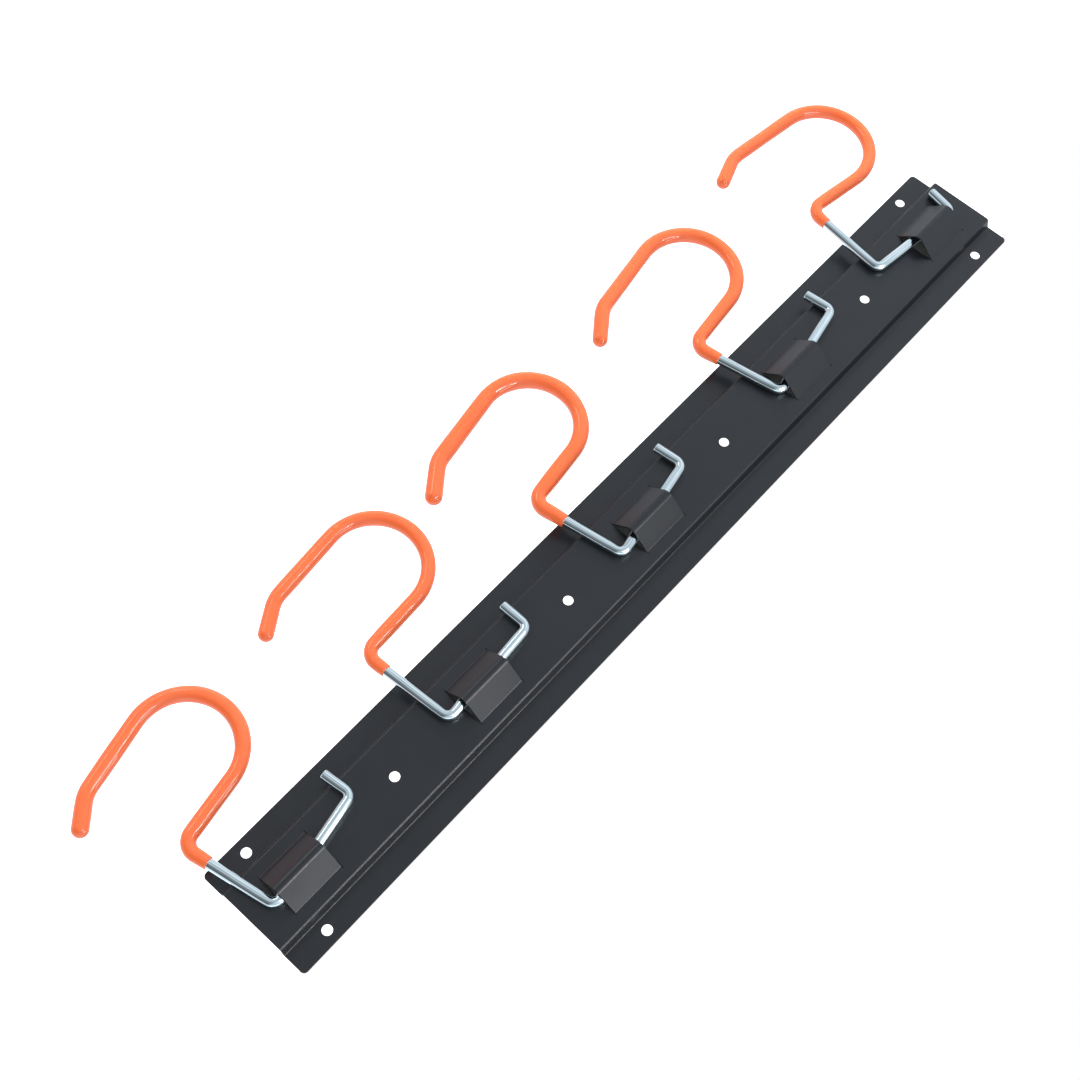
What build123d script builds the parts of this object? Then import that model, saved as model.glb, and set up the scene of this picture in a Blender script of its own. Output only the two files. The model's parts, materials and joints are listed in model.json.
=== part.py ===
from build123d import *
import os
from math import atan, atan2, cos, degrees, hypot, radians, sin, tan

# Wall tool rack: a pressed steel rail with lanced bridges, and coated wire hooks that swing in them.
# X runs along the rail, Z is up, the wall is the plane Y = 0 and the front faces -Y.
# The origin is the centre of the four corner screw holes, on the wall. All sizes are millimetres.

# Rail sheet: two flanges against the wall and a raised land between them
sheet = 1.2
flange_width = 21.1  # from the rail's edge to the foot of the step
land_rise = 9.5  # from the flange's face to the land's face
land_side = 9.6  # from the root of a bridge to the land's bend line
step_run = 2.7  # how far each step slopes outwards
bend_radius = 1.2  # inside of each bend
rail_end_margin = 50.8  # from the last bridge's middle to the rail's end
rail_corner_radius = 4.0

# Screw holes, in the rail's corners and midway between the bridges
hole_diameter = 8.7
corner_hole_end_inset = 34.9
corner_hole_side_inset = 11.2

# Hook wire and its dipped coating
hook_pitch = 203.2
wire_diameter = 9.0
wire_gap = 0.3  # free space between a hanging wire and the land
wire_end_chamfer = 0.6

# Bridges: strips of the land pressed out to a rounded V
bridge_length = 48.0
bridge_headroom = 5.5  # free height above the pivot wire
bridge_slope = 41.8  # of each side, in degrees
bridge_root = 1.0  # flat strip before each foot bend
ridge_radius = 2.8  # inside of the ridge bend
foot_radius = 2.0  # inside of the bend into the land
slit_width = 0.5  # cut that frees each end of a bridge

# Hook shape, all in one plane, measured on the wire's centre line
pivot_float = 52.5  # how much longer the pivot is than its bridge
tail_length = 27.5
tail_angle = 86.0  # turn from the pivot into the tail
arch_radius = 45.1
tip_angle = 27.4  # how far the tip turns up from the bar
pivot_bend_radius = 6.5
shoulder_bend_radius = 12.0
tip_bend_radius = 30.0

# How each hook lies, from the left, as shares of the play that it has in its bridge:
# how far its arm stands off the bridge's end, its lean, and its drop below the bridge's middle
slide_shares = (0.97, 0.06, 0.307, 0.264, 0.06)
lean_shares = (-0.54, 0.90, 0.84, 0.34, 0.90)
drop_shares = (0.42, 0.05, 0.12, 0.62, 0.03)

# What differs from hook to hook, from the left: the arm's length from the pivot to the shoulder's corner,
# how much of it is coated, the shoulder's turn, the stem's length from that corner to the arch,
# the arch's turn, the lengths of the bar and the tip, each to the corner between them,
# and the coating's wall
arm_reaches = (85.8, 87.2, 88.0, 86.8, 85.5)
coated_arms = (21.0, 26.4, 32.2, 23.0, 25.0)
shoulder_turns = (92.1, 94.0, 92.8, 91.0, 90.7)
stem_lengths = (58.4, 59.4, 59.2, 61.9, 62.1)
arch_turns = (181.4, 182.8, 182.7, 182.5, 183.6)
bar_lengths = (73.3, 72.8, 72.5, 70.4, 66.3)
tip_lengths = (30.0, 33.0, 32.9, 30.6, 27.2)
coating_walls = (1.7, 2.15, 2.75, 1.85, 2.2)

# Sizes that follow
hook_count = len(slide_shares)
wire_radius = wire_diameter / 2
land_face = sheet + land_rise
pivot_forward = land_face + wire_gap + wire_radius
pivot_length = bridge_length + pivot_float
ridge_outer_radius = ridge_radius + sheet
bridge_rise = wire_gap + wire_diameter + bridge_headroom + sheet
bridge_apex = bridge_rise + ridge_outer_radius * (1 / cos(radians(bridge_slope)) - 1)
bridge_half_width = bridge_apex / tan(radians(bridge_slope))
bridge_root_half_width = bridge_half_width + foot_radius * tan(radians(bridge_slope) / 2) + bridge_root
land_half_width = bridge_root_half_width + land_side
step_foot = land_half_width + step_run
rail_half_width = step_foot + flange_width
rail_length = (hook_count - 1) * hook_pitch + 2 * rail_end_margin
corner_hole_x = rail_length / 2 - corner_hole_end_inset
corner_hole_z = rail_half_width - corner_hole_side_inset

# Sections are drawn across the rail and forward from the wall; hooks are drawn flat, then hung on the rail
section_plane = Plane((0, 0, 0), x_dir=(0, 0, 1), z_dir=(1, 0, 0))
hook_plane = Plane((0, 0, 0), x_dir=(-1, 0, 0), z_dir=(0, -1, 0))


def hook_x(index):
    """Place of a bridge along the rail, counted from the left."""
    return (index - (hook_count - 1) / 2) * hook_pitch


def corner_cut(turn, radius):
    """Length that a bend takes from each side of its corner."""
    return radius * tan(radians(turn) / 2)


def step_bend_radius():
    """Inside radius of the rail's bends, held to what fits on the step between them."""
    turn = degrees(atan2(land_rise, step_run))
    most = (hypot(land_rise, step_run) / corner_cut(turn, 1) - sheet) / 2
    return min(bend_radius, 0.95 * most)


def side_play():
    """How far a pivot's centre line can lie from the middle of its bridge, clear of both sides."""
    slope = radians(bridge_slope)
    inner_half_width = bridge_half_width - sheet / sin(slope)
    axis_height = wire_gap + wire_radius
    return inner_half_width - (axis_height * cos(slope) + wire_radius + wire_gap) / sin(slope)


def bent_sheet(corners, radii, length):
    """Sheet whose front face follows the corners, with a radius at each inner corner."""
    front = FilletPolyline(*corners, radius=radii)
    outline = offset(front, amount=sheet, side=Side.RIGHT)
    section = make_face(outline.edges())
    return extrude(section_plane * section, amount=length / 2, both=True)


def make_rail():
    """Pressed rail with its bridges and screw holes, all one sheet."""
    inside = step_bend_radius()
    outside = inside + sheet
    profile = (
        (-rail_half_width, sheet),
        (-step_foot, sheet),
        (-land_half_width, land_face),
        (land_half_width, land_face),
        (step_foot, sheet),
        (rail_half_width, sheet),
    )
    rail = bent_sheet(profile, [inside, outside, outside, inside], rail_length)
    corners = [e for e in rail.edges().filter_by(Axis.Y) if abs(e.center().Z) > step_foot]
    rail = fillet(corners, rail_corner_radius)

    strip = (
        (-bridge_root_half_width, land_face),
        (-bridge_half_width, land_face),
        (0, land_face + bridge_apex),
        (bridge_half_width, land_face),
        (bridge_root_half_width, land_face),
    )
    bridge = bent_sheet(strip, [foot_radius, ridge_outer_radius, foot_radius], bridge_length)
    window_size = (bridge_length + 2 * slit_width, 2 * sheet, 2 * bridge_root_half_width)
    window = Pos(0, sheet / 2 - land_face, 0) * Box(*window_size)
    for index in range(hook_count):
        rail -= Pos(hook_x(index), 0, 0) * window
        rail += Pos(hook_x(index), 0, 0) * bridge

    hole = Rot(90, 0, 0) * Cylinder(hole_diameter / 2, 4 * land_face)
    for side in (-1, 1):
        for end in (-1, 1):
            rail -= Pos(end * corner_hole_x, 0, side * corner_hole_z) * hole
    for index in range(hook_count - 1):
        rail -= Pos(hook_x(index + 0.5), 0, 0) * hole
    return rail


def bent_wire(start, heading, steps):
    """Path of a bent wire: each step is a straight length, then a turn in degrees on a radius."""
    edges = []
    for straight, turn, radius in steps:
        line = PolarLine(start, straight, heading)
        edges.append(line.edge())
        start = line @ 1
        if turn:
            bend = JernArc(start, line % 1, radius, turn)
            edges.append(bend.edge())
            start = bend @ 1
            heading += turn
    return Wire(edges)


def round_bar(path, radius):
    """Round bar along a path."""
    return sweep(Plane(path @ 0, z_dir=path % 0) * Circle(radius), path=path)


def make_hook(index):
    """Wire and coating of one hook, with the arm's corner at the origin and the pivot along local X."""
    coated_arm = coated_arms[index]
    coating_start = arm_reaches[index] - coated_arm
    coating_radius = wire_radius + coating_walls[index]
    pivot_cut = corner_cut(90, pivot_bend_radius)
    tail_cut = corner_cut(tail_angle, pivot_bend_radius)
    shoulder_cut = corner_cut(shoulder_turns[index], shoulder_bend_radius)
    tip_cut = corner_cut(tip_angle, tip_bend_radius)
    bare_steps = (
        (coating_start - pivot_cut, 90, pivot_bend_radius),
        (pivot_length - pivot_cut - tail_cut, tail_angle, pivot_bend_radius),
        (tail_length - tail_cut, 0, 0),
    )
    coated_steps = (
        (coated_arm - shoulder_cut, -shoulder_turns[index], shoulder_bend_radius),
        (stem_lengths[index] - shoulder_cut, arch_turns[index], arch_radius),
        (bar_lengths[index] - tip_cut, tip_angle, tip_bend_radius),
        (tip_lengths[index] - tip_cut, 0, 0),
    )
    bare = bent_wire((0, coating_start), -90, bare_steps)
    coated = bent_wire((0, coating_start), 90, coated_steps)

    core = round_bar(coated, wire_radius)
    wire = round_bar(bare, wire_radius) + core
    tail_end = wire.faces().filter_by(GeomType.PLANE).sort_by(Axis.X)[-1]
    wire = chamfer(tail_end.edges(), wire_end_chamfer)

    end_cap = Sphere(coating_radius, arc_size1=0, arc_size2=90)
    coating = round_bar(coated, coating_radius) + Plane(coated @ 1, z_dir=coated % 1) * end_cap
    return wire, coating - core


def hook_lean(index):
    """Lean of a hook's pivot from the rail's length, in degrees."""
    return degrees(atan(lean_shares[index] * side_play() / (bridge_length / 2)))


def hook_place(index):
    """Where a hook hangs in its bridge."""
    arm_gap = slide_shares[index] * (pivot_float - wire_diameter)
    arm_side = bridge_length / 2 + wire_radius + arm_gap
    drop = drop_shares[index] * side_play()
    at_bridge = Pos(hook_x(index), -pivot_forward, 0) * Rot(0, -hook_lean(index), 0)
    return at_bridge * hook_plane.location * Pos(-arm_side, drop, 0)


os.makedirs("parts", exist_ok=True)
export_step(make_rail(), "parts/rail.step")
for index in range(hook_count):
    place = hook_place(index)
    wire, coating = make_hook(index)
    export_step(place * wire, f"parts/hook_{index + 1}_wire.step")
    export_step(place * coating, f"parts/hook_{index + 1}_coating.step")
    pivot = (place * Pos(pivot_length / 2, 0, 0)).position
    where = f"{pivot.X:.3f} {pivot.Y:.3f} {pivot.Z:.3f}"
    print(f"hook {index + 1}: pivot at {where}, lean {hook_lean(index):.3f}")
print(f"rail: {rail_length:.2f} long, {2 * rail_half_width:.2f} wide")
print(f"corner holes: {2 * corner_hole_x:.2f} by {2 * corner_hole_z:.2f}")
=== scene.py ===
# %% [markdown]
# # A wall tool organizer with five swinging hooks
# The real object is a long rail of pressed sheet steel with a black powder coat, and five hooks of bent
# wire. Each hook's pivot lies loose under a bridge that was lanced out of the rail, and most of each hook
# was dipped in orange vinyl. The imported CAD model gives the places, the sizes and the hinges. This script
# gives every piece its finished surface and its material.
#
# The frame is the CAD model's: X runs along the rail, Z is up, the wall is the plane Y = 0 and the front
# faces -Y. Sizes are written in millimetres, as a workshop would, and turned into metres where a mesh is
# made.

# %% Load the fixed frame
import json

import bpy
import numpy as np
from mathutils import Matrix, Vector


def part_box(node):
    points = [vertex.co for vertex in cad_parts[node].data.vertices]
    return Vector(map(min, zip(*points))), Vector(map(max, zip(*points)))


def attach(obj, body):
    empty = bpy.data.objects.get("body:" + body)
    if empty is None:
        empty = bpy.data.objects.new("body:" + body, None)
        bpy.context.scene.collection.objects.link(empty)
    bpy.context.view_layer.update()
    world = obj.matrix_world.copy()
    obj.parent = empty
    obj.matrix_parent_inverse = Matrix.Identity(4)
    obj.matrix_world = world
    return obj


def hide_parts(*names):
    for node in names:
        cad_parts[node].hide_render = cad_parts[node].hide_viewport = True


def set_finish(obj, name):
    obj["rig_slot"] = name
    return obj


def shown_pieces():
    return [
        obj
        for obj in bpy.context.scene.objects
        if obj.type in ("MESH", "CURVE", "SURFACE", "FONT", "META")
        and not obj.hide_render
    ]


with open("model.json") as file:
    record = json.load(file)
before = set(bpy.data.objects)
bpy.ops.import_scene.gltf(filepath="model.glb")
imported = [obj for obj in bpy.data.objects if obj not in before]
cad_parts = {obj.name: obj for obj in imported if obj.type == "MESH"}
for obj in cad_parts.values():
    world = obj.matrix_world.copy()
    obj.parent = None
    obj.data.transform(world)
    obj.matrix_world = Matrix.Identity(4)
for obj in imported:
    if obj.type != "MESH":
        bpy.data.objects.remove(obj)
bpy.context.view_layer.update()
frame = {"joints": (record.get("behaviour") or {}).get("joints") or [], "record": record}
MM = 0.001

# %% [markdown]
# ## One way to bend sheet and wire
# A press brake and a wire bender do the same thing: straight runs stay straight, and each corner becomes
# an arc. Blender could do this with a bevelled curve, but a formula gives the exact heading at every
# point, and the sweep of a wire needs that heading to keep its rings square to the line. So one function
# serves the rail's section, the bridges and the hooks.

# %% A line bent at its corners
def bent_line(corners, radii, arc_step=6.0):
    """Points and headings of straight runs that are joined by arcs.

    An arc of radius r and turn a touches its two runs at r * tan(a / 2) from their corner. Its points lie at
    distance r from a centre beside the first touching point, one for every few degrees of the turn.
    """
    corners = np.asarray(corners, float)
    runs = np.diff(corners, axis=0)
    headings = np.unwrap(np.arctan2(runs[:, 1], runs[:, 0]))
    points, turned = [corners[:1]], [headings[:1]]
    for corner, radius, before, after in zip(corners[1:-1], radii, headings[:-1], headings[1:]):
        turn = after - before
        angle = np.linspace(before, after, int(np.ceil(np.degrees(abs(turn)) / arc_step)) + 1)
        reach = np.sign(turn) * radius
        touch = corner - radius * np.tan(abs(turn) / 2) * np.array([np.cos(before), np.sin(before)])
        centre = touch + reach * np.array([-np.sin(before), np.cos(before)])
        points.append(centre + reach * np.column_stack([np.sin(angle), -np.cos(angle)]))
        turned.append(angle)
    return np.vstack([*points, corners[-1:]]), np.concatenate([*turned, headings[-1:]])


right_angle, _ = bent_line([(0, 0), (50, 0), (50, 50)], [10.0])
print(f"a right angle with a 10 mm bend takes {len(right_angle)} points")

# %% [markdown]
# ## The rail's section
# The rail is one sheet: two flanges that lie on the wall, and a land between them that stands off it,
# which makes a thin sheet stiff. Seen from the end, its front is a height above the wall for each Z, so
# the whole front face is a function of X and Z. The length, the width and the bridges' height are read
# from the CAD node, and the rest repeats the CAD model's sizes, except where the text says so.

# %% The front of the section, as a height for each Z
rail_low, rail_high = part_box("rail")
half_length, half_width, bridge_top = rail_high.x / MM, rail_high.z / MM, -rail_low.y / MM
sheet = 1.2
land_face = 10.7
flange_width = 21.1
step_run = 2.7
bend_radius = 1.2

step_foot = half_width - flange_width
land_half = step_foot - step_run
section, _ = bent_line(
    [(-half_width, sheet), (-step_foot, sheet), (-land_half, land_face),
     (land_half, land_face), (step_foot, sheet), (half_width, sheet)],
    [bend_radius, bend_radius + sheet, bend_radius + sheet, bend_radius],
)


def front_height(z):
    """Height of the pressed sheet's front above the wall: the bent section, read off at z."""
    return np.interp(z, section[:, 0], section[:, 1])


print(f"rail {2 * half_length:.1f} long and {2 * half_width:.1f} wide")
print(f"land from {-land_half:.1f} to {land_half:.1f}")

# %% [markdown]
# ## Holes and bridges
# The places of the screw holes come from the record's mounts. The bridges are evenly spaced strips of the
# land, pushed out to a rounded V. Their ridges are rounder than the CAD model's, 6.5 mm instead of 4 mm
# outside, as their broad highlights in the photograph show. With sides two degrees steeper, their height
# and their roots stay where they are.

# %% Places of the holes, and the bridges' profile
mounts = {mount["name"]: mount for mount in frame["record"]["mounts"]}
corner_dims = mounts["corner_holes"]["dims"]
hole_radius = corner_dims["hole_r_mm"]
corner_x, corner_z = corner_dims["spacing_x_mm"] / 2, corner_dims["spacing_y_mm"] / 2
stud_half = mounts["stud_holes_left"]["dims"]["spacing_x_mm"] / 2
stud_x = [mounts[name]["pos_m"][0] / MM + side * stud_half
          for name in ("stud_holes_left", "stud_holes_right") for side in (-1, 1)]
corner_holes = [(x, z) for x in (-corner_x, corner_x) for z in (-corner_z, corner_z)]
holes = corner_holes + [(x, 0.0) for x in stud_x]

hook_count = len(frame["joints"])
hook_pitch = 203.2
bridge_x = [hook_pitch * (index - (hook_count - 1) / 2) for index in range(hook_count)]
bridge_half_length = 24.0
slit = 0.5
bridge_slope = np.radians(43.63)
ridge_radius = 6.5
foot_radius = 2.0
root_flat = 1.0
bridge_apex = bridge_top - land_face + ridge_radius * (1 / np.cos(bridge_slope) - 1)
bridge_half = bridge_apex / np.tan(bridge_slope)
bridge_root = round(bridge_half + foot_radius * np.tan(bridge_slope / 2) + root_flat, 3)
print(f"{len(holes)} holes, and {len(bridge_x)} bridges of {2 * bridge_root:.2f} mm from root to root")

# %% [markdown]
# ## A grid planned around its holes
# Holes in a mesh are often cut with a Boolean, which leaves long thin triangles that shade badly. Here
# the grid is planned around them instead. Its lines run along every edge that matters, the cells inside a
# hole or a window are left out, and each hole gets a few rings of quads that turn the square gap into a
# circle.

# %% Grid lines where the edges are
hole_square = 6.2  # half the side of the square gap round a hole
hole_segments = 8
corner_radius = 4.0
corner_segments = 6
longest_along, longest_across = 8.0, 5.0


def grid_lines(marks, longest):
    """Sorted values through all the marks, with more between them, so that no gap is over the longest."""
    marks = np.unique(np.round(np.concatenate([np.ravel(mark) for mark in marks]), 3))
    gaps = [np.linspace(a, b, int(np.ceil((b - a) / longest)), endpoint=False)
            for a, b in zip(marks, marks[1:])]
    return np.concatenate([*gaps, marks[-1:]])


across_hole = np.linspace(-hole_square, hole_square, hole_segments + 1)
round_corner = np.linspace(0, corner_radius, corner_segments + 1)
bridge_ends = [side * reach for side in (-1, 1) for reach in (bridge_half_length, bridge_half_length + slit)]
along = grid_lines(
    [[-half_length + round_corner, half_length - round_corner]]
    + [x + across_hole for x, _ in holes]
    + [x + np.array(bridge_ends) for x in bridge_x],
    longest_along,
)
up = grid_lines(
    [[-half_width + round_corner, half_width - round_corner], section[:, 0], [-bridge_root, bridge_root]]
    + [z + across_hole for _, z in holes],
    longest_across,
)
print(f"{len(along)} lines along the rail, {len(up)} across it")

# %% [markdown]
# ## The front of the rail
# Three kinds of patch make up the front face: the pressed sheet, the rings round the holes, and the
# bridges. They share their edge points, so welding the points that coincide makes one surface. The sheet
# comes first. It is the whole grid, without the cells of the holes and the windows, and its outer corners
# are rounded by moving points rather than by cutting.

# %% The pressed sheet
def quads(rows, columns, keep=None, closed=False):
    """Corner numbers of the cells of a grid of points that is counted row by row."""
    last_column = columns if closed else columns - 1
    row, column = np.meshgrid(np.arange(rows - 1), np.arange(last_column), indexing="ij")
    after = (column + 1) % columns
    cells = np.stack([row * columns + column, (row + 1) * columns + column,
                      (row + 1) * columns + after, row * columns + after], axis=-1)
    return cells[keep] if keep is not None else cells.reshape(-1, 4)


def sheet_patch():
    """The grid of X and Z with the section's height.

    In a corner square, each point (p, q) of the unit square moves to
    (p * sqrt(1 - q * q / 2), q * sqrt(1 - p * p / 2)),
    which turns the square's outer edges into a quarter circle.
    """
    x, z = np.meshgrid(along, up, indexing="ij")
    p = np.clip((abs(x) - half_length) / corner_radius + 1, 0, 1)
    q = np.clip((abs(z) - half_width) / corner_radius + 1, 0, 1)
    round_x = np.sign(x) * (half_length - corner_radius * (1 - p * np.sqrt(1 - q * q / 2)))
    round_z = np.sign(z) * (half_width - corner_radius * (1 - q * np.sqrt(1 - p * p / 2)))
    points = np.stack([np.where(p > 0, round_x, x), -front_height(z), np.where(q > 0, round_z, z)], axis=-1)
    middles = ((along[1:] + along[:-1]) / 2, (up[1:] + up[:-1]) / 2)
    middle_x, middle_z = np.meshgrid(*middles, indexing="ij")
    keep = np.ones(middle_x.shape, bool)
    for x_hole, z_hole in holes:
        keep &= (abs(middle_x - x_hole) > hole_square) | (abs(middle_z - z_hole) > hole_square)
    for x_bridge in bridge_x:
        keep &= (abs(middle_x - x_bridge) > bridge_half_length + slit) | (abs(middle_z) > bridge_root)
    return points.reshape(-1, 3), quads(*x.shape, keep)


sheet_part = sheet_patch()
print(f"sheet: {len(sheet_part[1])} cells")

# %% [markdown]
# ## Rings and bridges
# A ring round a hole starts on the square gap that the grid left and ends on the circle. A bridge is its
# profile carried along X, on the grid's own lines, so that its two roots meet the sheet point by point.

# %% Rings round the holes, and the bridges
hole_rings = 3
bridge_arc_step = 4.0


def hole_patch(x_hole, z_hole):
    """Rings between a square and the circle in it: each point is a mix of a point on the square and the point
    of the circle in the same direction."""
    t = np.linspace(-1, 1, hole_segments + 1)[:-1]
    edge = np.ones_like(t)
    square = np.column_stack([np.concatenate([t, edge, -t, -edge]), np.concatenate([-edge, t, edge, -t])])
    circle = hole_radius * square / np.linalg.norm(square, axis=1, keepdims=True)
    share = np.linspace(0, 1, hole_rings + 1)[:, None, None]
    flat = (1 - share) * hole_square * square + share * circle
    x, z = x_hole + flat[..., 0], z_hole + flat[..., 1]
    points = np.stack([x, -front_height(np.full_like(z, z_hole)), z], axis=-1)
    return points.reshape(-1, 3), quads(*x.shape, closed=True)[:, ::-1]


def bridge_patch(x_bridge):
    """A bent strip of sheet: the profile across the bridge, carried along it."""
    profile, _ = bent_line(
        [(-bridge_root, land_face), (-bridge_half, land_face), (0, land_face + bridge_apex),
         (bridge_half, land_face), (bridge_root, land_face)],
        [foot_radius, ridge_radius, foot_radius], bridge_arc_step,
    )
    x = along[abs(along - x_bridge) < bridge_half_length + slit / 2]
    points = np.empty((len(x), len(profile), 3))
    points[..., 0] = x[:, None]
    points[..., 1] = -profile[:, 1]
    points[..., 2] = profile[:, 0]
    return points.reshape(-1, 3), quads(*points.shape[:2])


hole_parts = [hole_patch(x, z) for x, z in holes]
bridge_parts = [bridge_patch(x) for x in bridge_x]
print(f"each hole: {len(hole_parts[0][1])} cells; each bridge: {len(bridge_parts[0][1])} cells")

# %% [markdown]
# ## One surface
# Real pressed sheet is never quite flat, and on a satin coat that shows as soft unevenness in the
# reflections. So the welded surface also gets long, shallow waves that add up to less than a tenth of a
# millimetre.

# %% Weld the patches
sheet_waves = (  # height, millimetres per radian along X and along Z, and phase
    (0.045, 47, 31, 0.0),
    (0.03, 29, -23, 1.3),
    (0.02, 83, 9, 0.6),
)


def weld(patches):
    """One surface from several: points that agree to a hundredth of a millimetre become one, and unused
    points go."""
    starts = np.cumsum([0] + [len(points) for points, _ in patches])
    points = np.vstack([points for points, _ in patches])
    faces = np.vstack([faces + start for (_, faces), start in zip(patches, starts)])
    _, first, same = np.unique(np.round(points, 2), axis=0, return_index=True, return_inverse=True)
    used, faces = np.unique(first[same.ravel()][faces], return_inverse=True)
    return points[used], faces.reshape(-1, 4)


def sheet_wave(x, z):
    """Shallow unevenness of pressed sheet, in millimetres: three long sine waves that cross at odd angles."""
    return sum(height * np.sin(x / on_x + z / on_z + phase) for height, on_x, on_z, phase in sheet_waves)


def add_piece(name, points, faces):
    """A smooth-shaded mesh object at the origin, from points in millimetres and lists of corner numbers."""
    mesh = bpy.data.meshes.new(name)
    mesh.from_pydata((points * MM).tolist(), [], faces)
    mesh.shade_smooth()
    piece = bpy.data.objects.new(name, mesh)
    bpy.context.scene.collection.objects.link(piece)
    print(f"{name}: {len(points)} points, {len(faces)} faces")
    return piece


rail_points, rail_faces = weld([sheet_part, *hole_parts, *bridge_parts])
rail_points[:, 1] += sheet_wave(rail_points[:, 0], rail_points[:, 2])
rail = add_piece("pressed_rail", rail_points, rail_faces.tolist())

# %% [markdown]
# ## Thickness and edges
# The sheet is 1.2 mm thick. Solidify makes the back face and the cut edges from the front face, so the
# thickness is the same on the flats and round every bend. A small Bevel then breaks the cut edges,
# because paint and punching never leave a sharp one, and a broken edge is what catches the light along
# the ends of the bridges.

# %% Back face, cut edges and broken edges
edge_break = 0.22
sharp_edge = np.radians(50)

thickness = rail.modifiers.new("sheet", "SOLIDIFY")
thickness.thickness = sheet * MM
thickness.offset = -1.0
thickness.use_even_offset = True
thickness.use_quality_normals = True
# the rim's lighter coat is partly thinner powder and partly a painted highlight along the cut edges
thickness.material_offset_rim = 1  # the cut edges take the rail's second material

broken_edge = rail.modifiers.new("broken_edge", "BEVEL")
broken_edge.width = edge_break * MM
broken_edge.segments = 2
broken_edge.limit_method = "ANGLE"
broken_edge.angle_limit = sharp_edge
broken_edge.use_clamp_overlap = False
broken_edge.harden_normals = True

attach(rail, "rail_body")
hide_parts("rail")
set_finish(rail, "powder_coated_steel")
print("rail modifiers:", [modifier.name for modifier in rail.modifiers])

# %% [markdown]
# ## The line of a hook
# A hook is one wire bent in one plane: a short tail, the pivot that lies under the bridge, an arm, a
# stem, a round arch, a bar and a tip. The plane is laid on the rail by the hinge: the pivot runs along
# the hinge's axis, and the arm hangs at a right angle to it, flat against the rail. A wire bender works
# in legs and turns, so the line is written that way: walk a leg, turn, walk the next. No two hooks came
# off the bender quite alike, so some of the legs and turns are listed for each hook.

# %% Hook shape on its own plane
pivot_length = 100.5
tail_length, tail_turn = 27.5, 86.0
arch_radius = 45.1
tip_turn = 27.4
bend_radii = (6.5, 6.5, 12.0, arch_radius, arch_radius, 30.0)
arm_reaches = (85.8, 87.2, 88.0, 86.8, 85.5)
shoulder_turns = (92.1, 94.0, 92.8, 91.0, 90.7)
stem_lengths = (58.4, 59.4, 59.2, 61.9, 62.1)
arch_turns = (181.4, 182.8, 182.7, 182.5, 183.6)
bar_lengths = (73.3, 72.8, 72.5, 70.4, 66.3)
tip_lengths = (30.0, 33.0, 32.9, 30.6, 27.2)
hook_arc_step = 2.0
same_point = 1e-6


def hook_line(index):
    """Distance, place and heading at the bends of a hook's wire, from the tail's end to the tip.

    Each corner lies one leg further along the heading, which is the sum of the turns so far. The arch is
    two equal turns, and reaches radius * tan(turn / 4) beyond the legs beside it. The arm's corner is moved
    to the origin.
    """
    half_turn = arch_turns[index] / 2
    reach = arch_radius * np.tan(np.radians(half_turn) / 2)
    legs = np.array([tail_length, pivot_length, arm_reaches[index], stem_lengths[index] + reach, 2 * reach,
                     bar_lengths[index] + reach, tip_lengths[index]])
    turns = (180 + tail_turn, -tail_turn, -90, -shoulder_turns[index], half_turn, half_turn, tip_turn)
    way = np.radians(np.cumsum(turns))
    walked = np.cumsum(legs[:, None] * np.column_stack([np.cos(way), np.sin(way)]), axis=0)
    corners = np.vstack([(0, 0), walked])
    points, heading = bent_line(corners - corners[2], bend_radii, hook_arc_step)
    steps = np.hypot(*np.diff(points, axis=0).T)
    distance = np.concatenate([[0], np.cumsum(steps)])
    keep = np.concatenate([[True], steps > same_point])
    return distance[keep], points[keep], heading[keep]


for index in range(hook_count):
    print(f"hook {index + 1}: {hook_line(index)[0][-1]:.0f} mm of wire")

# %% [markdown]
# ## Carrying a round profile along the line
# Wire and coating are both round, so one sweep makes both: a list of rings, each with a distance along
# the line and a radius. Two rings at the same distance with different radii make a flat end, and a single
# point closes each end. Bending squeezes wire a little: inside a tight bend it is slightly flatter in the
# plane of the hook and slightly wider across it, which shows as the small kink in the reflections at each
# corner.

# %% Where the rings of a sweep lie
wire_radius = 4.5
ring_points = 48
squeeze = 0.035
squeeze_reach = 7.0  # how far each way a bend is felt along the wire
full_squeeze_turn = 1.4  # turn over twice that reach, in radians, that squeezes fully
past_tip = 20.0  # straight run that carries the round end past the wire's tip


def spaced(start, stop, step=2.0):
    """Distances from start to stop, evenly spaced and about a step apart."""
    return np.linspace(start, stop, int(np.ceil(abs(stop - start) / step)) + 1)


def ring_places(shape, place, ring_s):
    """Centre, sideways direction and tightness of the bend at each ring.

    place holds the corner of the arm and the directions of the pivot and of the arm. The line is read off at
    the ring's distance, and the sideways direction is its heading turned by a right angle.
    """
    distance, line, heading = shape
    corner, along_pivot, along_arm = place
    end = line[-1] + past_tip * np.array([np.cos(heading[-1]), np.sin(heading[-1])])
    s = np.append(distance, distance[-1] + past_tip)
    u, v = (np.interp(ring_s, s, np.append(line[:, k], end[k])) for k in (0, 1))
    turn = np.interp(ring_s, distance, heading)
    ahead = np.interp(ring_s + squeeze_reach, distance, heading)
    behind = np.interp(ring_s - squeeze_reach, distance, heading)
    tight = np.clip(abs(ahead - behind) / full_squeeze_turn, 0, 1)
    centre = corner + u[:, None] * along_pivot + v[:, None] * along_arm
    side = np.cos(turn)[:, None] * along_arm - np.sin(turn)[:, None] * along_pivot
    return centre, side, tight


print(f"{ring_points} points to a ring, squeezed by up to {squeeze:.1%} in a tight bend")

# %% [markdown]
# ## The swept bar
# The rings become one closed skin: quads between the rings, and a fan of triangles at each end. Each
# point also remembers where it would lie on the unbent wire, so that drawing marks can follow the wire
# round its bends.

# %% Sweep of rings along a hook
crease = np.radians(40)


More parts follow.
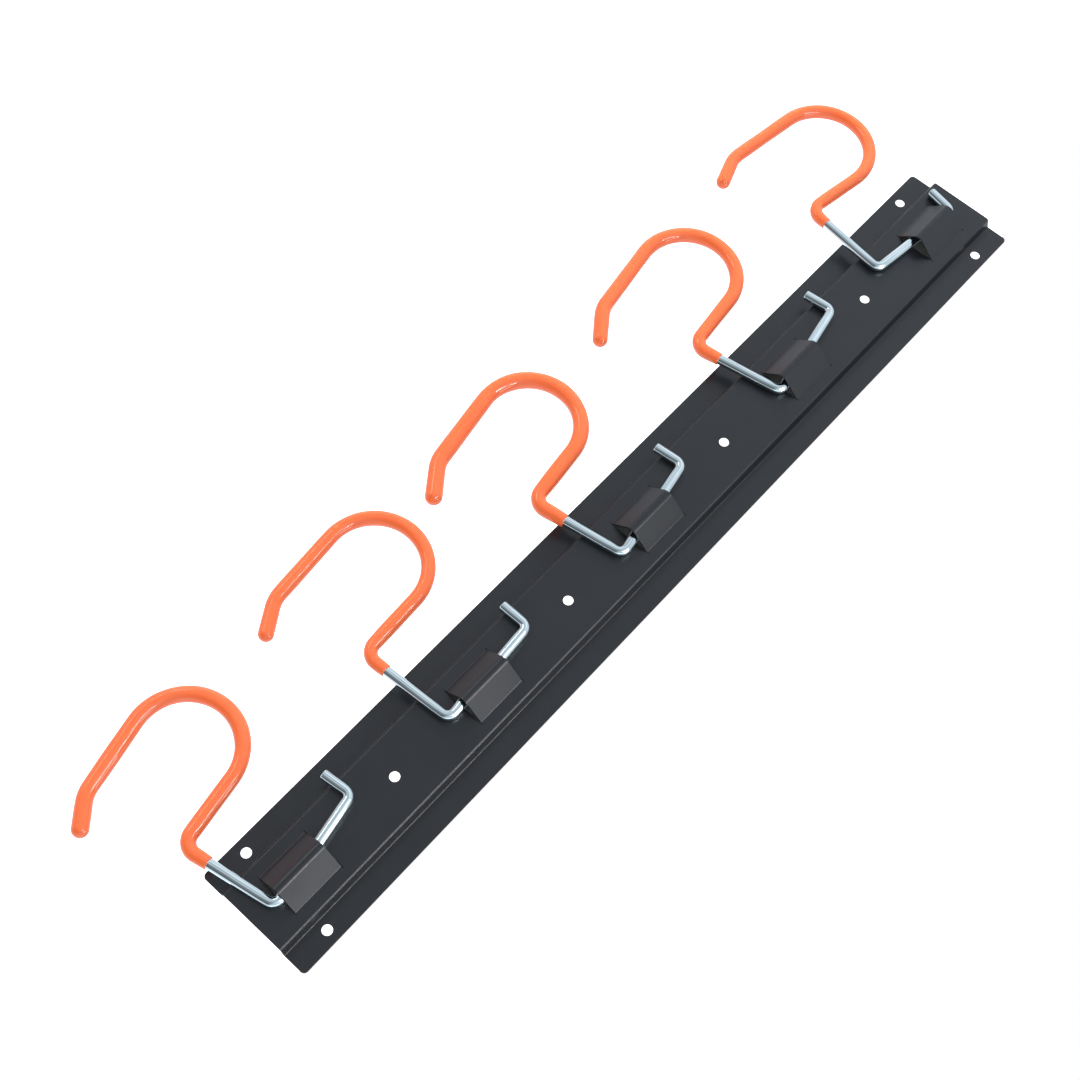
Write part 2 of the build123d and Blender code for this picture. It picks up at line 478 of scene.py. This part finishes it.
def bar_faces(count):
    """Corner numbers of the skin over a count of rings, and of the two fans at its ends. The middles of the
    fans are the last two points."""
    k = np.arange(ring_points)
    after = (k + 1) % ring_points
    first, last = count * ring_points, count * ring_points + 1
    start_cap = np.column_stack([np.full_like(k, first), after, k])
    end_cap = np.column_stack([np.full_like(k, last), first - ring_points + k, first - ring_points + after])
    skin = quads(count, ring_points, closed=True)[:, ::-1]
    return skin.tolist() + start_cap.tolist() + end_cap.tolist()


def sweep(name, shape, ring_s, ring_r, place):
    """A closed round bar: ring i is a circle of radius ring_r[i] at distance ring_s[i], square to the line.

    A point at angle t on a ring is centre + r * (cos t * side + sin t * out). Where the line turns, side
    shrinks by the squeeze and out grows by half of it. The first and the last ring are single points.
    """
    centre, side, tight = ring_places(shape, place, ring_s)
    out = np.cross(place[1], place[2])
    angle = np.linspace(0, 2 * np.pi, ring_points, endpoint=False)
    wide = (ring_r * (1 - squeeze * tight))[1:-1, None] * np.cos(angle)
    tall = (ring_r * (1 + squeeze * tight / 2))[1:-1, None] * np.sin(angle)
    rings = centre[1:-1, None] + wide[..., None] * side[1:-1, None] + tall[..., None] * out
    points = np.vstack([rings.reshape(-1, 3), centre[[0, -1]]])
    piece = add_piece(name, points, bar_faces(len(ring_s) - 2))
    piece.data.set_sharp_from_angle(angle=crease)

    unbent = np.stack(np.broadcast_arrays(ring_s[1:-1, None], wide, tall), axis=-1).reshape(-1, 3)
    ends = np.column_stack([ring_s[[0, -1]], np.zeros(2), np.zeros(2)])
    straight = piece.data.attributes.new("straight", "FLOAT_VECTOR", "POINT")
    straight.data.foreach_set("vector", (np.vstack([unbent, ends]) * MM).astype(np.float32).ravel())
    return piece


print(f"a bar of 100 rings has {len(bar_faces(100))} faces")

# %% [markdown]
# ## Bent wire
# The wire is 9 mm steel, cut square at the tail with a slightly broken edge. It runs on inside the
# coating to its tip, where the coating hides it, as on the real hook.

# %% Five wires
end_break = 0.6


def wire_rings(length):
    """Distance and radius of each ring: a flat end, a small chamfer, the full wire, and a flat end."""
    s = np.concatenate([[0, 0], spaced(end_break, length), [length]])
    r = np.concatenate([[0, wire_radius - end_break], np.full(len(s) - 3, wire_radius), [0]])
    return s, r


hooks = []
for joint in frame["joints"]:
    number = len(hooks) + 1
    body = joint["child"]
    along_pivot = np.array(joint["axis"]) / np.linalg.norm(joint["axis"])
    along_arm = np.cross((0, -1, 0), along_pivot)
    corner = np.array(joint["pos_m"]) / MM - along_pivot * pivot_length / 2
    shape = hook_line(number - 1)
    place = (corner, along_pivot, along_arm)
    wire = sweep(f"hook_{number}_bent_wire", shape, *wire_rings(shape[0][-1]), place)
    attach(wire, body)
    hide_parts(f"hook_{number}_wire")
    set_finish(wire, "zinc_plated_wire")
    hooks.append((body, shape, place))

# %% [markdown]
# ## Dipped coating
# The hook is hung by its tail, heated, dipped in liquid vinyl and cured. The vinyl runs down while it
# sets, so the wall is thin at the lip on the arm, full from the shoulder on, and thickest at the tip,
# where it ends in a round blob. It also swells and thins slowly along the way, a little differently on
# each hook. It is modelled as a real sleeve: in along the bore, over the lip and out along the outside.

# %% Rings of a coating
lip_length = 1.2
lip_reach = 12.0  # how far the thin wall behind the lip is felt
bore_gap = 0.01
bore_step = 4.0
lip_turn, end_turn = 15, 9  # degrees between the rings of the lip and of the round end
wall_share, tip_gain, lip_loss = 0.9, 0.25, 0.5
swells = ((0.05, 16.0, 1), (0.03, 7.3, 2))  # share of the wall, millimetres per radian, and times the phase


def coating_rings(start, stop, wall, phase):
    """Distance and radius of each ring: the bore from the wire's end to the lip, a lip that is a quarter
    ellipse, the outside, and half a ball over the end.

    The outside is the wire's radius and a share of the wall. The share is
    wall_share + tip_gain * t - lip_loss * exp(-run / lip_reach), where run is the distance from the lip and
    t its share of the whole, plus two slow sine waves that fade in behind the lip.
    """
    bore = wire_radius + bore_gap
    bore_s = spaced(stop, start, bore_step)
    lip = np.radians(np.arange(lip_turn, 90, lip_turn))
    outside_s = spaced(start + lip_length, stop)
    run = outside_s - start
    share = wall_share + tip_gain * run / (stop - start) - lip_loss * np.exp(-run / lip_reach)
    wave = sum(part * np.sin(run / length + times * phase) for part, length, times in swells)
    outside_r = wire_radius + wall * (share + wave * np.clip(run / lip_reach, 0, 1))
    ball = np.radians(np.arange(end_turn, 90, end_turn))
    end_r = outside_r[-1]
    s = np.concatenate([[stop], bore_s, start + lip_length * (1 - np.cos(lip)), outside_s,
                        stop + end_r * np.sin(ball), [stop + end_r]])
    r = np.concatenate([[0], np.full_like(bore_s, bore), bore + (outside_r[0] - bore) * np.sin(lip),
                        outside_r, end_r * np.cos(ball), [0]])
    return s, r


print(f"a 2 mm wall, 300 mm long, has {len(coating_rings(0.0, 300.0, 2.0, 0)[0])} rings")

# %% Five coatings
coated_arms = (21.0, 26.4, 32.2, 23.0, 25.0)
coating_walls = (1.7, 2.15, 2.75, 1.85, 2.2)

for number, (body, shape, place) in enumerate(hooks, 1):
    distance, line, _ = shape
    on_arm = abs(line[:, 0]) < same_point  # the arm hangs straight down from the plane's origin
    lip_at = arm_reaches[number - 1] - coated_arms[number - 1]
    start = np.interp(lip_at, line[on_arm, 1], distance[on_arm])
    rings = coating_rings(start, distance[-1], coating_walls[number - 1], number)
    coating = sweep(f"hook_{number}_dipped_coating", shape, *rings, place)
    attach(coating, body)
    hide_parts(f"hook_{number}_coating")
    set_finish(coating, "dipped_vinyl")

# %% [markdown]
# ## Colours and nodes
# A material in Blender is a small network of nodes. A few helpers keep the networks short to read. One
# turns the hex colour that a paint chart or a picture editor shows into the linear light that Blender
# works in, and one adds a node with its settings and everything that feeds it.
#
# A Mix node carries sockets for numbers and for colours side by side, under the same names. They are told
# apart by their numbers, which get names here.

# %% Helpers for materials
FACTOR, NUMBER_A, NUMBER_B, COLOUR_A, COLOUR_B = 0, 2, 3, 6, 7
MIXED_NUMBER, MIXED_COLOUR = 0, 2


def colour(code):
    """Linear red, green, blue and alpha of an sRGB hex value: the sRGB curve undone for each channel."""
    srgb = np.array([int(code[i:i + 2], 16) for i in (1, 3, 5)]) / 255
    linear = np.where(srgb <= 0.04045, srgb / 12.92, ((srgb + 0.055) / 1.055) ** 2.4)
    return (*linear.tolist(), 1.0)


def add_node(tree, kind, inputs=None, **settings):
    """Adds a node. The settings are its properties; each input is a plain value or another node's output."""
    node = tree.nodes.new("ShaderNode" + kind)
    for name, value in settings.items():
        setattr(node, name, value)
    for key, value in (inputs or {}).items():
        if isinstance(value, bpy.types.NodeSocket):
            tree.links.new(value, node.inputs[key])
        else:
            node.inputs[key].default_value = value
    return node


def new_material(name):
    """An empty node material: the material, its tree and its output node."""
    material = bpy.data.materials.new(name)
    material.use_nodes = True
    material.node_tree.nodes.clear()
    return material, material.node_tree, add_node(material.node_tree, "OutputMaterial")


def per_metre(size_mm):
    """Scale of a noise texture with spots of about this size: a scale of 1 gives one spot to the metre."""
    return 1 / (size_mm * MM)


print(f"middle grey, #808080, is {colour('#808080')[0]:.3f} in linear light")

# %% [markdown]
# ## Black powder coat
# Polyester powder is sprayed on dry and melted in an oven. It flows out into a satin skin that is not
# quite level: a fine orange peel with bumps about a millimetre apart, and broad patches where the skin is
# a little glossier. The sheet's cut edges hold less powder, and their lighter grey is partly that and
# partly a painted highlight along the edges. One material does both faces, and a second, made by the same
# function, is given to the edges that Solidify makes.

# %% Powder coat for the faces and the cut edges
def powder_coat(name, dark, light, roughness, spread=0.03):
    """Satin polyester powder: colour and gloss drift over 35 mm, and bumps of 1.2 mm are the orange peel."""
    material, tree, output = new_material(name)
    place = add_node(tree, "TexCoord").outputs["Object"]
    drift = add_node(tree, "TexNoise", {
        "Vector": place, "Scale": per_metre(35), "Detail": 3.0}).outputs["Fac"]
    peel = add_node(tree, "TexNoise", {
        "Vector": place, "Scale": per_metre(1.2), "Detail": 1.0}).outputs["Fac"]
    tone = add_node(tree, "Mix", {
        FACTOR: drift, COLOUR_A: colour(dark), COLOUR_B: colour(light)}, data_type="RGBA")
    gloss = add_node(tree, "MapRange", {
        "Value": drift, "From Min": 0.3, "From Max": 0.7,
        "To Min": roughness - spread, "To Max": roughness + spread})
    bump = add_node(tree, "Bump", {"Height": peel, "Strength": 0.25, "Distance": 0.03 * MM})
    shader = add_node(tree, "BsdfPrincipled", {
        "Base Color": tone.outputs[MIXED_COLOUR], "Roughness": gloss.outputs["Result"], "IOR": 1.5,
        "Normal": bump.outputs["Normal"]})
    tree.links.new(shader.outputs["BSDF"], output.inputs["Surface"])
    return material


rail.data.materials.append(powder_coat("black_powder_coat", "#181A1D", "#1C1F23", 0.32))
# the lighter grey of the cut edges is partly thinner powder and partly a painted highlight
rail.data.materials.append(powder_coat("black_powder_coat_on_cut_edges", "#1F2124", "#282A2E", 0.34))
print("rail materials:", [material.name for material in rail.data.materials])

# %% [markdown]
# ## Bright zinc plate
# The wire is drawn steel with a bright, slightly blue zinc plate. Drawing leaves fine straight lines
# along the wire that the plate follows, so reflections stay long and clear along the wire and blur across
# it. The pattern is laid on the unbent wire that each point remembers, stretched out fifty times along
# it, so the lines bend with the hook. Drawing lines are a few hundredths of a millimetre apart; here they
# are 0.9 mm, as coarse as they need to be to show.

# %% Zinc plate for the wires
def zinc_plate(name):
    """Bright plated wire: a metal whose gloss and tone vary in streaks along the wire, slightly clouded."""
    material, tree, output = new_material(name)
    unbent = add_node(tree, "Attribute", attribute_name="straight").outputs["Vector"]
    stretched = add_node(tree, "Mapping", {"Vector": unbent, "Scale": (0.02, 1.0, 1.0)}).outputs["Vector"]
    lines = add_node(tree, "TexNoise", {
        "Vector": stretched, "Scale": per_metre(0.9), "Detail": 2.0}).outputs["Fac"]
    cloud = add_node(tree, "TexNoise", {
        "Vector": unbent, "Scale": per_metre(12), "Detail": 3.0}).outputs["Fac"]
    streak = add_node(tree, "MapRange", {"Value": lines, "From Min": 0.35, "From Max": 0.65})
    worn = add_node(tree, "Mix", {
        FACTOR: cloud, COLOUR_A: colour("#B0C4C8"), COLOUR_B: colour("#C6D8DC")}, data_type="RGBA")
    tone = add_node(tree, "Mix", {
        FACTOR: streak.outputs["Result"], COLOUR_A: worn.outputs[MIXED_COLOUR],
        COLOUR_B: colour("#E8F5F8")}, data_type="RGBA")
    gloss = add_node(tree, "MapRange", {
        "Value": lines, "From Min": 0.3, "From Max": 0.7, "To Min": 0.06, "To Max": 0.15})
    bump = add_node(tree, "Bump", {"Height": lines, "Strength": 0.3, "Distance": 0.03 * MM})
    shader = add_node(tree, "BsdfPrincipled", {
        "Base Color": tone.outputs[MIXED_COLOUR], "Metallic": 1.0, "Roughness": gloss.outputs["Result"],
        "Normal": bump.outputs["Normal"]})
    tree.links.new(shader.outputs["BSDF"], output.inputs["Surface"])
    return material


finishes = {"zinc_plated_wire": zinc_plate("bright_zinc_plate")}
print("zinc plate:", len(finishes["zinc_plated_wire"].node_tree.nodes), "nodes")

# %% [markdown]
# ## Dipped vinyl
# Plastisol is soft PVC that cures from a liquid, so its skin is smooth and glossy with slow ripples where
# it ran. Light goes a little way into it and comes out again, which keeps the shaded side of the hook
# warm and bright.

# %% Orange vinyl for the coatings
def dipped_vinyl(name):
    """Glossy plastisol: orange with a faint drift in tone, ripples of 9 mm, and light under the skin."""
    material, tree, output = new_material(name)
    unbent = add_node(tree, "Attribute", attribute_name="straight").outputs["Vector"]
    drift = add_node(tree, "TexNoise", {
        "Vector": unbent, "Scale": per_metre(25), "Detail": 2.0}).outputs["Fac"]
    ripple = add_node(tree, "TexNoise", {
        "Vector": unbent, "Scale": per_metre(9), "Detail": 1.0}).outputs["Fac"]
    tone = add_node(tree, "Mix", {
        FACTOR: drift, COLOUR_A: colour("#FF713A"), COLOUR_B: colour("#FF7741")}, data_type="RGBA")
    gloss = add_node(tree, "MapRange", {
        "Value": drift, "From Min": 0.3, "From Max": 0.7, "To Min": 0.03, "To Max": 0.05})
    bump = add_node(tree, "Bump", {"Height": ripple, "Strength": 0.3, "Distance": 0.25 * MM})
    shader = add_node(tree, "BsdfPrincipled", {
        "Base Color": tone.outputs[MIXED_COLOUR], "Roughness": gloss.outputs["Result"], "IOR": 1.53,
        "Subsurface Weight": 0.15, "Subsurface Radius": (1.0, 0.3, 0.1), "Subsurface Scale": 1.5 * MM,
        "Normal": bump.outputs["Normal"]})
    tree.links.new(shader.outputs["BSDF"], output.inputs["Surface"])
    return material


finishes["dipped_vinyl"] = dipped_vinyl("orange_dipped_vinyl")
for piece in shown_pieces():
    if piece.get("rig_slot") in finishes:
        piece.data.materials.append(finishes[piece["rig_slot"]])

# %% [markdown]
# ## Surroundings
# The photograph is a cut-out on white, so the camera sees white all round. A black rail that mirrored
# white from every side would turn grey, so Light Path tells the rays apart. Rays from the camera, and
# rays through glass, meet plain white. Rays that leave a matt surface meet an even, pale tent.
# Reflections meet a room of greys, as in a studio with dark and pale screens: darker in front and towards
# +X, and lighter overhead, towards -X and behind the rail.

# %% Levels of the room, by direction
room_steps = (  # name, axis of the ray's direction, where the step starts and stops, and its two levels
    ("ahead", "Y", -0.4, -0.8, 0.5, 0.7),
    ("below", "Z", -0.3, -0.8, 0.5, 0.75),
    ("overhead", "Z", 0.1, 0.6, 0.0, 1.0),
    ("overhead_fading", "X", -0.1, -0.65, 0.75, 0.25),
    ("behind", "Y", 0.3, 0.6, 0.0, 0.8),
    ("left", "X", -0.2, -0.75, 0.0, 0.5),
    ("right", "X", 0.1, 0.45, 0.0, 1.0),
    ("right_fading", "Y", -0.1, -0.3, 0.5, -0.4),
    ("tent", "Z", 0.3, -0.5, 0.98, 1.15),
)
room_joins = (  # name, how two levels are joined, and which two
    ("front", "MAXIMUM", "ahead", "below"),
    ("overhead", "MULTIPLY", "overhead", "overhead_fading"),
    ("lighter", "MAXIMUM", "overhead", "behind"),
    ("lighter", "MAXIMUM", "lighter", "left"),
    ("right", "MULTIPLY", "right", "right_fading"),
    ("room", "ADD", "front", "lighter"),
    ("room", "ADD", "room", "right"),
)
print(f"{len(room_steps)} steps and {len(room_joins)} joins")

# %% White for the camera, a grey room for reflections
def studio_world():
    """World shader: a smooth step for each row of the first table, joined two at a time by the second.

    The room is the greater of the two front levels, plus the greatest of the three lighter sides, plus a
    patch towards +X that is darker in front and lighter behind.
    """
    world = bpy.data.worlds.new("studio")
    world.use_nodes = True
    tree = world.node_tree
    tree.nodes.clear()
    ray = add_node(tree, "LightPath")
    direction = add_node(tree, "SeparateXYZ", {"Vector": add_node(tree, "TexCoord").outputs["Generated"]})
    levels = {}
    for name, axis, start, stop, first, last in room_steps:
        step = add_node(tree, "MapRange", {
            "Value": direction.outputs[axis], "From Min": start, "From Max": stop,
            "To Min": first, "To Max": last}, interpolation_type="SMOOTHSTEP")
        levels[name] = step.outputs["Result"]
    for name, operation, one, other in room_joins:
        joined = add_node(tree, "Math", {0: levels[one], 1: levels[other]}, operation=operation)
        levels[name] = joined.outputs["Value"]
    unseen = add_node(tree, "Mix", {
        FACTOR: ray.outputs["Is Diffuse Ray"], NUMBER_A: levels["room"], NUMBER_B: levels["tent"]})
    seen = add_node(tree, "Math", {
        0: ray.outputs["Is Camera Ray"], 1: ray.outputs["Is Transmission Ray"]},
        operation="MAXIMUM").outputs["Value"]
    strength = add_node(tree, "Mix", {
        FACTOR: seen, NUMBER_A: unseen.outputs[MIXED_NUMBER], NUMBER_B: 1.0})
    tint = add_node(tree, "Mix", {
        FACTOR: seen, COLOUR_A: colour("#F0F6FF"), COLOUR_B: colour("#FFFFFF")}, data_type="RGBA")
    background = add_node(tree, "Background", {
        "Color": tint.outputs[MIXED_COLOUR], "Strength": strength.outputs[MIXED_NUMBER]})
    output = add_node(tree, "OutputWorld")
    tree.links.new(background.outputs["Background"], output.inputs["Surface"])
    return world


bpy.context.scene.world = studio_world()
print("world:", len(bpy.context.scene.world.node_tree.nodes), "nodes")

# %% [markdown]
# ## Floor
# The floor is far below, pale and matt, with a little light of its own for the camera alone, so that it
# meets the white without a line but keeps a shadow.

# %% Floor below the object
def pale_floor(height, half_size):
    """A matt floor under the object, a little brighter for the camera alone."""
    corners = np.array([(-1, -1), (1, -1), (1, 1), (-1, 1)]) * half_size
    points = np.column_stack([corners, np.full(4, height)])
    floor = add_piece("floor", points, [[0, 1, 2, 3]])
    material, tree, output = new_material("matt_white_floor")
    ray = add_node(tree, "LightPath")
    shader = add_node(tree, "BsdfPrincipled", {
        "Base Color": colour("#F2F2F0"), "Roughness": 0.9, "Emission Color": colour("#FFFFFF"),
        "Emission Strength": ray.outputs["Is Camera Ray"]})
    tree.links.new(shader.outputs["BSDF"], output.inputs["Surface"])
    floor.data.materials.append(material)
    floor.visible_glossy = False


pale_floor(height=-1200.0, half_size=6000.0)

# %% [markdown]
# ## Wall behind the windows
# A bridge is open at both ends, and there the camera looks through its window at what lies behind. On
# white surroundings that would be a glaring spot, and the wire in the window would mirror it, so a small
# piece of wall stands behind each window. Only the camera and reflections see it, and only from the
# front.

# %% Pieces of wall
def wall_patches(reach_x, reach_z, off_wall):
    """Pieces of matt wall behind the windows, clear from behind, that cast no shadow and light nothing."""
    corners = np.array([(-reach_x, -reach_z), (reach_x, -reach_z), (reach_x, reach_z), (-reach_x, reach_z)])
    flat = np.vstack([corners + (x, 0) for x in bridge_x])
    points = np.column_stack([flat[:, 0], np.full(len(flat), -off_wall), flat[:, 1]])
    wall = add_piece("wall_behind_windows", points, np.arange(len(points)).reshape(-1, 4).tolist())
    material, tree, output = new_material("matt_grey_wall")
    paint = add_node(tree, "BsdfPrincipled", {"Base Color": colour("#8C8883"), "Roughness": 0.9})
    clear = add_node(tree, "BsdfTransparent")
    behind = add_node(tree, "NewGeometry").outputs["Backfacing"]
    shader = add_node(tree, "MixShader", {0: behind, 1: paint.outputs["BSDF"], 2: clear.outputs["BSDF"]})
    tree.links.new(shader.outputs["Shader"], output.inputs["Surface"])
    wall.data.materials.append(material)
    wall.visible_diffuse = wall.visible_transmission = wall.visible_shadow = False


wall_patches(reach_x=35.0, reach_z=28.0, off_wall=0.2)

# %% [markdown]
# ## Lamps
# One broad softbox stands beyond the top of the picture: towards -X, in front and below. It gives matt
# light alone. It brightens that side of every hook, most on the nearest, and no reflection shows it.
# Three long, narrow strips do the opposite: they draw the white lines and give no matt light. The first,
# in front and above, is the line on the glossy vinyl and the wire. The second, overhead, runs along the
# rail's upper bends. The third, in front and below, lines the lower sides. Each lamp is written by its
# brightness rather than its power, because brightness is what a reflection shows; the power of a flat
# lamp is its brightness times its area times pi.

# %% Softbox and strips
def softbox(name, place, aim, width, height, brightness):
    """A rectangular lamp at a place in metres, turned to face the aim."""
    lamp = bpy.data.lights.new(name, "AREA")
    lamp.shape = "RECTANGLE"
    lamp.size, lamp.size_y = width, height
    lamp.energy = brightness * width * height * np.pi
    holder = bpy.data.objects.new(name, lamp)
    holder.location = place
    holder.rotation_euler = (Vector(aim) - Vector(place)).to_track_quat("-Z", "Y").to_euler()
    bpy.context.scene.collection.objects.link(holder)
    return holder


side_lamp = softbox("side_softbox", (-1.6, -1.2, -1.3), (-0.1, 0.0, 0.0), 0.9, 0.9, 44.0)
side_lamp.visible_glossy = False
strips = (
    softbox("upper_strip", (-0.05, -1.03, 1.23), (-0.05, 0.0, 0.0), 1.15, 0.1, 36.0),
    softbox("overhead_strip", (0.1, -0.14, 1.6), (0.1, 0.0, 0.0), 0.85, 0.14, 18.0),
    softbox("lower_strip", (0.1, -1.13, -1.13), (0.1, 0.0, 0.0), 0.85, 0.14, 6.0),
)
for strip in strips:
    strip.visible_diffuse = False
print("lamp powers in watts:", {lamp.name: round(lamp.energy, 1) for lamp in bpy.data.lights})

# %% [markdown]
# ## Camera
# The rail's straight edges and evenly spaced holes fix the camera of the photograph: a lens of about
# 54 mm on a 36 mm frame, rolled so that the rail crosses the picture from corner to corner.

# %% Camera of the photograph
camera_place = (0.55121, -1.22292, 0.30396)
right = Vector((-0.66639, -0.04145, 0.74445))
down = Vector((0.65751, 0.43815, 0.61295))
forward = Vector((-0.35159, 0.89794, -0.26473))

camera_data = bpy.data.cameras.new("camera")
camera_data.lens = 54.141
camera_data.sensor_width = 36.0
camera = bpy.data.objects.new("camera", camera_data)
bpy.context.scene.collection.objects.link(camera)
turned = Matrix((right, -down, -forward)).transposed().to_4x4()
camera.matrix_world = Matrix.Translation(camera_place) @ turned
bpy.context.scene.camera = camera
bpy.context.scene.view_settings.view_transform = "Standard"
print("camera at", [round(c, 3) for c in camera.location])
